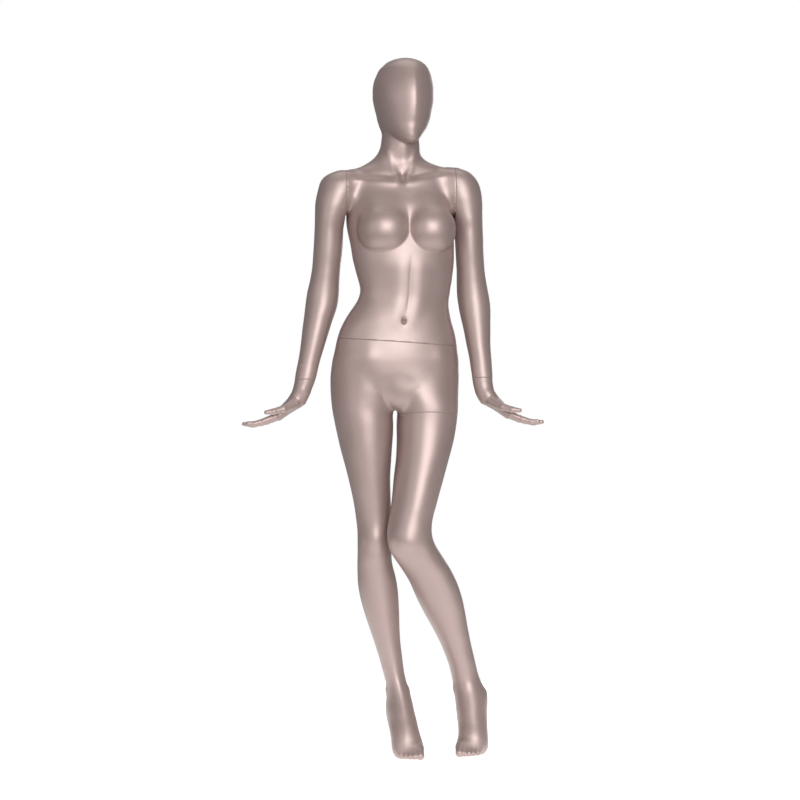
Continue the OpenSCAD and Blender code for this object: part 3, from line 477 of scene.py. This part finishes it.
# ------------------------------------------------------------------ meshing
def nets(F, lo, h):
    S = F < 0
    nx, ny, nz = F.shape
    c = np.zeros((nx - 1, ny - 1, nz - 1), np.int8)
    for i in (0, 1):
        for j in (0, 1):
            for k in (0, 1):
                c += S[i:nx - 1 + i, j:ny - 1 + j, k:nz - 1 + k]
    cells = np.argwhere((c > 0) & (c < 8))
    index = np.full(c.shape, -1, np.int32)
    index[tuple(cells.T)] = np.arange(len(cells))
    corner = {(i, j, k): F[cells[:, 0] + i, cells[:, 1] + j, cells[:, 2] + k] for i in (0, 1) for j in (0, 1) for k in (0, 1)}
    total, count = np.zeros((len(cells), 3)), np.zeros(len(cells))
    for axis in range(3):
        others = [a for a in range(3) if a != axis]
        for p in (0, 1):
            for q in (0, 1):
                a = [0, 0, 0]
                a[others[0]], a[others[1]] = p, q
                b = list(a)
                b[axis] = 1
                fa, fb = corner[tuple(a)], corner[tuple(b)]
                cross = (fa < 0) != (fb < 0)
                t = np.where(cross, fa / np.where(cross, fa - fb, 1), 0)
                pt = np.tile(np.array(a, float), (len(cells), 1))
                pt[:, axis] = t
                total += pt * cross[:, None]
                count += cross
    V = (cells + total / count[:, None]) * h + np.array(lo, float)
    faces = []
    for axis in range(3):
        sl0 = [slice(None)] * 3
        sl1 = [slice(None)] * 3
        sl0[axis], sl1[axis] = slice(0, -1), slice(1, None)
        A, B = S[tuple(sl0)], S[tuple(sl1)]
        e = np.argwhere(A != B)
        o1, o2 = [(1, 2), (2, 0), (0, 1)][axis]
        ok = (e[:, o1] > 0) & (e[:, o2] > 0) & (e[:, o1] < F.shape[o1] - 1) & (e[:, o2] < F.shape[o2] - 1)
        e = e[ok]
        def at(d1, d2):
            q = e.copy()
            q[:, o1] += d1
            q[:, o2] += d2
            return index[tuple(q.T)]
        quad = np.stack([at(-1, -1), at(0, -1), at(0, 0), at(-1, 0)], 1)
        flip = B[tuple(e.T)] if len(e) else np.zeros(0, bool)
        quad[flip] = quad[flip][:, ::-1]
        faces.append(quad)
    return V, np.concatenate(faces)


def gradient(field, P, e=0.6):
    K = np.array([[1, -1, -1], [-1, -1, 1], [-1, 1, -1], [1, 1, 1.0]])
    g, m = np.zeros_like(P), np.zeros(len(P))
    for k in K:
        v = field(P + k * e)
        g += k * v[:, None]
        m += v
    return g / (4 * e), m / 4


def project(field, P, times=2):
    for _ in range(times):
        g, v = gradient(field, P)
        n2 = np.maximum((g * g).sum(1), 0.05)
        d = np.clip(v / n2, -3, 3)
        P = P - g * d[:, None]
    return P, g / np.linalg.norm(g, axis=1, keepdims=True)


def relax(field, V, Q, times=3):
    E = np.concatenate([Q[:, [0, 1]], Q[:, [1, 2]], Q[:, [2, 3]], Q[:, [3, 0]]])
    a = np.concatenate([E[:, 0], E[:, 1]])
    b = np.concatenate([E[:, 1], E[:, 0]])
    deg = np.bincount(a, minlength=len(V)).astype(float)
    V, N = project(field, V, 2)
    for _ in range(times):
        mean = np.stack([np.bincount(a, weights=V[b, i], minlength=len(V)) for i in range(3)], 1) / deg[:, None]
        d = mean - V
        d -= N * (d * N).sum(1)[:, None]
        V, N = project(field, V + 0.7 * d, 1)
    return V, N


def grid_mesh(field, lo, hi, h):
    lo = np.array(lo, float)
    n = [int(math.ceil((hi[i] - lo[i]) / h / 4)) * 4 + 1 for i in range(3)]
    ax = [lo[i] + h * np.arange(n[i]) for i in range(3)]
    cax = [a[::4] for a in ax]
    C = np.stack(np.meshgrid(*cax, indexing="ij"), -1).reshape(-1, 3)
    FC = np.concatenate([field(C[i:i + 400000]) for i in range(0, len(C), 400000)]).reshape([len(a) for a in cax])
    near = np.abs(FC) < 4 * h * 1.75 + 8
    cell = np.zeros([len(a) - 1 for a in cax], bool)
    for i in (0, 1):
        for j in (0, 1):
            for k in (0, 1):
                cell |= near[i:near.shape[0] - 1 + i, j:near.shape[1] - 1 + j, k:near.shape[2] - 1 + k]
    mask = np.zeros(n, bool)
    big = np.repeat(np.repeat(np.repeat(cell, 4, 0), 4, 1), 4, 2)
    mask[:-1, :-1, :-1] = big
    for a in range(3):
        sh = [slice(None)] * 3
        sg = [slice(None)] * 3
        sh[a], sg[a] = slice(1, None), slice(0, -1)
        m2 = mask.copy()
        m2[tuple(sh)] |= mask[tuple(sg)]
        mask = m2
    idx = [np.minimum((np.arange(n[i]) + 2) // 4, len(cax[i]) - 1) for i in range(3)]
    F = FC[np.ix_(*idx)].astype(np.float64)
    pts = np.argwhere(mask)
    vals = np.concatenate([field(lo + h * pts[i:i + 400000]) for i in range(0, len(pts), 400000)])
    F[tuple(pts.T)] = vals
    V, Q = nets(F, lo, h)
    return V, Q


def largest(V, Q):
    """Only the biggest connected piece."""
    parent = np.arange(len(V))
    E = np.concatenate([Q[:, [0, 1]], Q[:, [1, 2]], Q[:, [2, 3]]])
    for _ in range(200):
        m = np.minimum(parent[E[:, 0]], parent[E[:, 1]])
        new = parent.copy()
        np.minimum.at(new, E[:, 0], m)
        np.minimum.at(new, E[:, 1], m)
        new = new[new]
        if (new == parent).all():
            break
        parent = new
    roots, counts = np.unique(parent, return_counts=True)
    keep = parent == roots[counts.argmax()]
    remap = np.cumsum(keep) - 1
    return V[keep], remap[Q[keep[Q[:, 0]]]]


GAP, EDGE, RIM = 0.15, 0.35, 4.0


def cut(bm, field, point, normal, where, depth, taper=0.8, hole=None, axis_point=None, snap=1.0):
    """Cuts the piece at a parting plane and keeps the side away from normal. The end gets a softened edge, a flat rim and a recess, or a hole for a peg."""
    p = Vector(point) - Vector(normal) * GAP
    n = Vector(normal)
    onto = [v for v in bm.verts if abs((v.co - p).dot(n)) < snap and where(v.co)]
    if onto:
        nn, P = np.array(n[:]), np.array([v.co[:] for v in onto])
        g, _ = gradient(field, P)
        g /= np.maximum(np.linalg.norm(g, axis=1, keepdims=True), 1e-6)
        t = nn - (g @ nn)[:, None] * g
        P = P - t * (((P - np.array(p[:])) @ nn) / np.maximum(t @ nn, 0.15))[:, None]
        P = P - np.outer((P - np.array(p[:])) @ nn, nn)
        for _ in range(3):
            g, value = gradient(field, P)
            g -= np.outer(g @ nn, nn)
            P = P - g * np.clip(value / np.maximum((g * g).sum(1), 0.1), -1.5, 1.5)[:, None]
        for v, q in zip(onto, P):
            v.co = q
    faces = [f for f in bm.faces if where(f.calc_center_median())]
    verts = {v for f in faces for v in f.verts}
    edges = {e for f in faces for e in f.edges}
    r = bmesh.ops.bisect_plane(bm, geom=list(faces) + list(edges) + list(verts), plane_co=p, plane_no=n, clear_outer=True, dist=0.02)
    ring = [v for v in r["geom_cut"] if isinstance(v, bmesh.types.BMVert)]
    bmesh.ops.remove_doubles(bm, verts=ring, dist=0.6)
    edges = [e for e in bm.edges if e.is_boundary and abs((e.verts[0].co - p).dot(n)) < 0.05 and abs((e.verts[1].co - p).dot(n)) < 0.05]
    ring = list({v for e in edges for v in e.verts})
    P = np.array([v.co[:] for v in ring])
    g, _ = gradient(field, P)
    nn = np.array(n[:])
    g -= np.outer(g @ nn, nn)
    g /= np.maximum(np.linalg.norm(g, axis=1, keepdims=True), 1e-6)
    c = P.mean(0) if axis_point is None else np.array(axis_point, float) - nn * ((np.array(axis_point, float) - np.array(p[:])) @ nn)
    out = {v: g[i] for i, v in enumerate(ring)}
    def push(edges, place):
        res = bmesh.ops.extrude_edge_only(bm, edges=edges)
        new = [x for x in res["geom"] if isinstance(x, bmesh.types.BMVert)]
        newe = [x for x in res["geom"] if isinstance(x, bmesh.types.BMEdge)]
        return new, newe
    layer = bm.verts.layers.float_vector.get("g")
    home = bm.verts.layers.float_vector.get("h")
    for v in ring:
        v[layer] = Vector(out[v])
        v[home] = v.co.copy()
    # soften: the outer loop drops back, the next lies on the plane
    for v in ring:
        v.co = v.co - n * EDGE
    sharp = []
    new, e1 = push(edges, None)
    new1 = [v for v in new]
    for v in new1:
        v.co = v[home] - v[layer] * EDGE
    new, e2 = push([e for e in e1 if e.is_boundary], None)
    c = Vector(c)
    if hole is None:
        for v in new:
            v.co = v[home] - v[layer] * RIM
    else:
        for v in new:
            d = v[home] - c
            d = d - n * d.dot(n)
            v.co = c + d.normalized() * hole
    sharp += [e for e in e2 if e.is_boundary]
    new, e3 = push([e for e in e2 if e.is_boundary], None)
    for v in new:
        d = v.co - c
        d = d - n * d.dot(n)
        v.co = v.co - n * depth - (d * (1 - taper) if hole is None else Vector((0, 0, 0)))
    rim = [e for e in e3 if e.is_boundary]
    sharp += rim
    bmesh.ops.contextual_create(bm, geom=rim)
    for e in sharp:
        if e.is_valid:
            e.smooth = False


def make(name, field, lo, hi, h, body, node, cuts, refine=(), relax_times=3, tris=False):
    V, Q = grid_mesh(field, lo, hi, h)
    V, Q = largest(V, Q)
    V, N = relax(field, V, Q, relax_times)
    me = bpy.data.meshes.new(name)
    me.from_pydata(V.tolist(), [], Q.tolist())
    bm = bmesh.new()
    bm.from_mesh(me)
    bm.verts.layers.float_vector.new("g")
    bm.verts.layers.float_vector.new("h")
    for where in refine:
        edges = [e for e in bm.edges if where((e.verts[0].co + e.verts[1].co) / 2)]
        bmesh.ops.subdivide_edges(bm, edges=edges, cuts=1, use_grid_fill=True)
        bm.verts.ensure_lookup_table()
        sel = [v for v in bm.verts if where(v.co)]
        P = np.array([v.co[:] for v in sel])
        for _ in range(2):
            P, _n = project(field, P, 1)
        for v, p in zip(sel, P):
            v.co = p
    for f in bm.faces:
        f.smooth = True
    for c in cuts:
        cut(bm, field, snap=0.42 * h, **c)
    bmesh.ops.recalc_face_normals(bm, faces=bm.faces)
    for v in bm.verts:
        v.co = v.co * MM
    for f in bm.faces:
        f.smooth = True
    for k in ("g", "h"):
        l = bm.verts.layers.float_vector.get(k)
        if l:
            bm.verts.layers.float_vector.remove(l)
    bm.to_mesh(me)
    bm.free()
    o = bpy.data.objects.new(name, me)
    scene.collection.objects.link(o)
    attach(o, body)
    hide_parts(node)
    return o


def hips_from(P, legs):
    """The trunk above turns into the legs below."""
    z = P[:, 2]
    u, v = trunk_frame(P)
    t = 1 - step(z, 886, 1020)
    f = (1 - t) * trunk(P) + t * legs
    back, front = step(v, 0, 40), step(-v, 10, 50)
    for s in (-1, 1):
        b = ellipsoid(P, (14 + s * 57, 52 + s * 8, 928), (58, 66, 62), 8)
        f = smin(f, b, 22.0)
    f = f + 9.0 * np.exp(-((u + 4) / 8) ** 2) * back * step(z, 862, 900) * (1 - step(z, 975, 1010))
    f = smin(f, ellipsoid(P, (20, -36, 936), (36, 40, 46)), 24.0)
    # groins
    low = 1 - step(z, 985, 1010)
    f = f + (1.5 * line2(P, (-32, 944), (-2, 897), 8.0) + 0.8 * line2(P, (72, 944), (38, 897), 8.0)) * front * low
    f = f + (1.8 * line2(P, (-60, 980), (-8, 912), 20.0) + 0.8 * line2(P, (108, 984), (48, 912), 24.0)) * front * low
    return front_detail(P, f)


def leg_shape(P, s):
    return leg_detail(P, foot_field(P, leg[s](P), s), s)


def lower_piece(P):
    p0, n = THIGH
    left = np.maximum(leg_shape(P, "l"), (P - p0) @ n - 6)
    return hips_from(P, smin(leg_shape(P, "r"), left, 3.0 + 60.0 * step(P[:, 2], 900, 985)))


def left_piece(P):
    return hips_from(P, leg_shape(P, "l"))


waist_lo = dict(point=WAIST[0], normal=WAIST[1], where=lambda c: c.z > 1030, depth=38, taper=0.9)
waist_hi = dict(point=WAIST[0], normal=-WAIST[1], where=lambda c: c.z < 1100, depth=114, taper=0.6)
pieces = {}
pieces["torso"] = make("torso_casting", torso_field, (-150, -150, 1040), (190, 130, 1812), 2.8, "torso", "torso_shell", [
    waist_hi,
    dict(point=SHOULDER["r"][0], normal=SHOULDER["r"][1], where=lambda c: c.z > 1370 and c.x < -80, depth=60, taper=0.7),
    dict(point=SHOULDER["l"][0], normal=SHOULDER["l"][1], where=lambda c: c.z > 1380 and c.x > 130, depth=60, taper=0.7)],
    refine=[lambda c: c.y < -60 and abs(c.z - 1119) < 22 and abs(c.x - 36) < 22])
pieces["lower"] = make("lower_body_casting", lower_piece, (-170, -140, -8), (190, 140, 1100), 2.8, "lower_body", "lower_body_shell", [
    waist_lo,
    dict(point=THIGH[0], normal=THIGH[1], where=lambda c: c.x > 10.5 and 820 < c.z < 892, depth=82, taper=0.8)],
    refine=[lambda c: c.z < 60])
pieces["leg"] = make("left_leg_casting", left_piece, (-40, -150, -8), (265, 140, 905), 2.8, "left_leg", "left_leg_shell", [
    dict(point=THIGH[0], normal=-THIGH[1], where=lambda c: c.z > 845, depth=36, taper=0.9)],
    refine=[lambda c: c.z < 60])
for s, side, node in (("r", "right", "arm_shell_r"), ("l", "left", "arm_shell_l")):
    fld = (lambda P, s=s: arm_field(P, s))
    x0, x1 = ((-262, -60) if s == "r" else (110, 275))
    pieces["arm_" + s] = make(side + "_arm_casting", fld, (x0, -90, 940), (x1, 100, 1530), 2.5, "arm_" + s, node, [
        dict(point=SHOULDER[s][0], normal=-SHOULDER[s][1], where=lambda c: c.z > 1300, depth=24, taper=0.8),
        dict(point=WRIST[s][0], normal=WRIST[s][1], where=lambda c: c.z < 1000, depth=38, taper=0.85)])
    hx = ((-400, -190) if s == "r" else (205, 415))
    hy = ((-115, 20) if s == "r" else (-80, 55))
    pieces["hand_" + s] = make(side + "_hand_casting", fld, (hx[0], hy[0], 830), (hx[1], hy[1], 990), 1.3, side + "_hand", "hand_" + s, [
        dict(point=WRIST[s][0], normal=-WRIST[s][1], where=lambda c: c.z > 955, depth=25, hole=5.3, axis_point=WRIST[s][0])])

# ------------------------------------------------------------------ materials
def noise(nt, scale, detail=2.0, stretch=None):
    """Noise in the piece's own coordinates, in metres, drawn out along an axis where stretch says so."""
    co = nt.nodes.new("ShaderNodeTexCoord")
    n = nt.nodes.new("ShaderNodeTexNoise")
    n.inputs["Scale"].default_value = scale
    n.inputs["Detail"].default_value = detail
    if stretch:
        mp = nt.nodes.new("ShaderNodeMapping")
        mp.inputs["Scale"].default_value = stretch
        nt.links.new(co.outputs["Object"], mp.inputs[0])
        nt.links.new(mp.outputs[0], n.inputs["Vector"])
    else:
        nt.links.new(co.outputs["Object"], n.inputs["Vector"])
    return n.outputs[0]


def spread(nt, value, lo, hi, a=0.3, b=0.7):
    m = nt.nodes.new("ShaderNodeMapRange")
    m.inputs["From Min"].default_value, m.inputs["From Max"].default_value = a, b
    m.inputs["To Min"].default_value, m.inputs["To Max"].default_value = lo, hi
    nt.links.new(value, m.inputs["Value"])
    return m.outputs[0]


def tones(nt, value, colors, places=None):
    r = nt.nodes.new("ShaderNodeValToRGB")
    places = places or [0.3 + 0.4 * i / (len(colors) - 1) for i in range(len(colors))]
    while len(r.color_ramp.elements) < len(colors):
        r.color_ramp.elements.new(0.5)
    for e, p, c in zip(r.color_ramp.elements, places, colors):
        e.position, e.color = p, (*c, 1)
    nt.links.new(value, r.inputs[0])
    return r.outputs[0]


def bump(nt, b, value, strength, distance):
    m = nt.nodes.new("ShaderNodeBump")
    m.inputs["Strength"].default_value = strength
    m.inputs["Distance"].default_value = distance
    nt.links.new(value, m.inputs["Height"])
    nt.links.new(m.outputs[0], b.inputs["Normal"])


def lacquer():
    """Pearl lacquer over fibreglass: metal flake under a satin clear coat."""
    m, nt, b = clean_node_material("pearl_lacquer")
    flake = noise(nt, 1500, 1.0)
    cloud = noise(nt, 9, 3.0)
    mix = nt.nodes.new("ShaderNodeMath")
    mix.operation = "MULTIPLY_ADD"
    mix.inputs[1].default_value = 0.55
    nt.links.new(cloud, mix.inputs[0])
    half = nt.nodes.new("ShaderNodeMath")
    half.operation = "MULTIPLY"
    half.inputs[1].default_value = 0.45
    nt.links.new(flake, half.inputs[0])
    nt.links.new(half.outputs[0], mix.inputs[2])
    nt.links.new(tones(nt, mix.outputs[0], [BASE_LO, BASE_MID, BASE_HI]), b.inputs["Base Color"])
    nt.links.new(spread(nt, cloud, 0.48, 0.54), b.inputs["Roughness"])
    bump(nt, b, flake, 0.12, 0.0004)
    b.inputs["Metallic"].default_value = 0.6
    b.inputs["Coat Weight"].default_value = 0.8
    b.inputs["Coat Roughness"].default_value = 0.42
    b.inputs["Coat IOR"].default_value = 1.6
    return m


BASE_LO, BASE_MID, BASE_HI = (0.395, 0.290, 0.268), (0.42, 0.310, 0.288), (0.445, 0.331, 0.308)


def turned(name, lo, hi, rough, metallic=1.0, scale=120, stretch=(1, 1, 14), depth=0.00006):
    m, nt, b = clean_node_material(name)
    n = noise(nt, scale, 4.0, stretch)
    big = noise(nt, 30, 2.0)
    nt.links.new(tones(nt, big, [lo, hi]), b.inputs["Base Color"])
    nt.links.new(spread(nt, n, rough - 0.08, rough + 0.1), b.inputs["Roughness"])
    b.inputs["Metallic"].default_value = metallic
    bump(nt, b, n, 0.35, depth)
    return m


def board():
    """Raw fibre board: short pale and dark fibres, slightly rough."""
    m, nt, b = clean_node_material("fibre_board")
    n = noise(nt, 220, 6.0, (1, 1, 3))
    nt.links.new(tones(nt, n, [(0.33, 0.21, 0.115), (0.47, 0.32, 0.185), (0.58, 0.42, 0.26)]), b.inputs["Base Color"])
    nt.links.new(spread(nt, n, 0.9, 0.72), b.inputs["Roughness"])
    bump(nt, b, n, 0.5, 0.0003)
    return m


def nylon():
    m, nt, b = clean_node_material("natural_nylon")
    n = noise(nt, 160, 3.0)
    nt.links.new(tones(nt, n, [(0.76, 0.745, 0.68), (0.83, 0.82, 0.765)]), b.inputs["Base Color"])
    nt.links.new(spread(nt, n, 0.42, 0.56), b.inputs["Roughness"])
    b.inputs["Subsurface Weight"].default_value = 0.2
    b.inputs["Subsurface Scale"].default_value = 0.002
    bump(nt, b, n, 0.2, 0.0001)
    return m


slots = {"lacquer": lacquer(), "board": board(), "nylon": nylon(),
         "steel": turned("zinc_plated_steel", (0.50, 0.51, 0.53), (0.62, 0.62, 0.61), 0.33),
         "screw": turned("zinc_plated_screw", (0.56, 0.55, 0.50), (0.66, 0.65, 0.60), 0.28, scale=300, stretch=(1, 1, 5)),
         "magnet": turned("nickel_plate", (0.58, 0.56, 0.53), (0.66, 0.64, 0.61), 0.16, scale=400, stretch=(1, 1, 1), depth=0.00002)}
for o in pieces.values():
    o.data.materials.append(slots["lacquer"])
for part in frame["record"]["subparts"]:
    o = frame["nodes"][part["node"]]
    if not o.material_slots:
        o.data.materials.append(None)
    for k in o.material_slots:
        k.material = slots[part["material_slot"]]

# floor, backdrop and light
bpy.ops.mesh.primitive_plane_add(size=2.6, location=(0, 0, -0.0005))
floor = bpy.context.object
floor.name = "floor"
fm, fnt, fb = clean_node_material("floor_paint")
fb.inputs["Base Color"].default_value = (0.9, 0.9, 0.9, 1)
fb.inputs["Roughness"].default_value = 0.9
fb.inputs["Emission Color"].default_value = (1, 1, 1, 1)
fb.inputs["Emission Strength"].default_value = 0.72
floor.data.materials.append(fm)
world = bpy.data.worlds.new("studio")
world.use_nodes = True
wt = world.node_tree
bg = wt.nodes["Background"]
bg.inputs[0].default_value = (0.24, 0.24, 0.24, 1)
bg.inputs[1].default_value = 1.0
white = wt.nodes.new("ShaderNodeBackground")
white.inputs[0].default_value = (1, 1, 1, 1)
path = wt.nodes.new("ShaderNodeLightPath")
both = wt.nodes.new("ShaderNodeMixShader")
wt.links.new(path.outputs["Is Camera Ray"], both.inputs[0])
wt.links.new(bg.outputs[0], both.inputs[1])
wt.links.new(white.outputs[0], both.inputs[2])
wt.links.new(both.outputs[0], wt.nodes["World Output"].inputs[0])
scene.world = world
area_light("key", (1.0, -4.6, 2.3), (0, 0, 1.1), 2.8, 185, size_y=2.6)
area_light("fill", (-3.2, -3.6, 1.9), (0, 0, 0.9), 2.4, 26, size_y=2.6)
area_light("top", (0, 0.5, 4.8), (0, 0, 0), 3.0, 30)
area_light("back", (0.8, 4.8, 2.2), (0, 0, 1.0), 3.0, 55, size_y=2.6)
scene.view_settings.view_transform = "Standard"
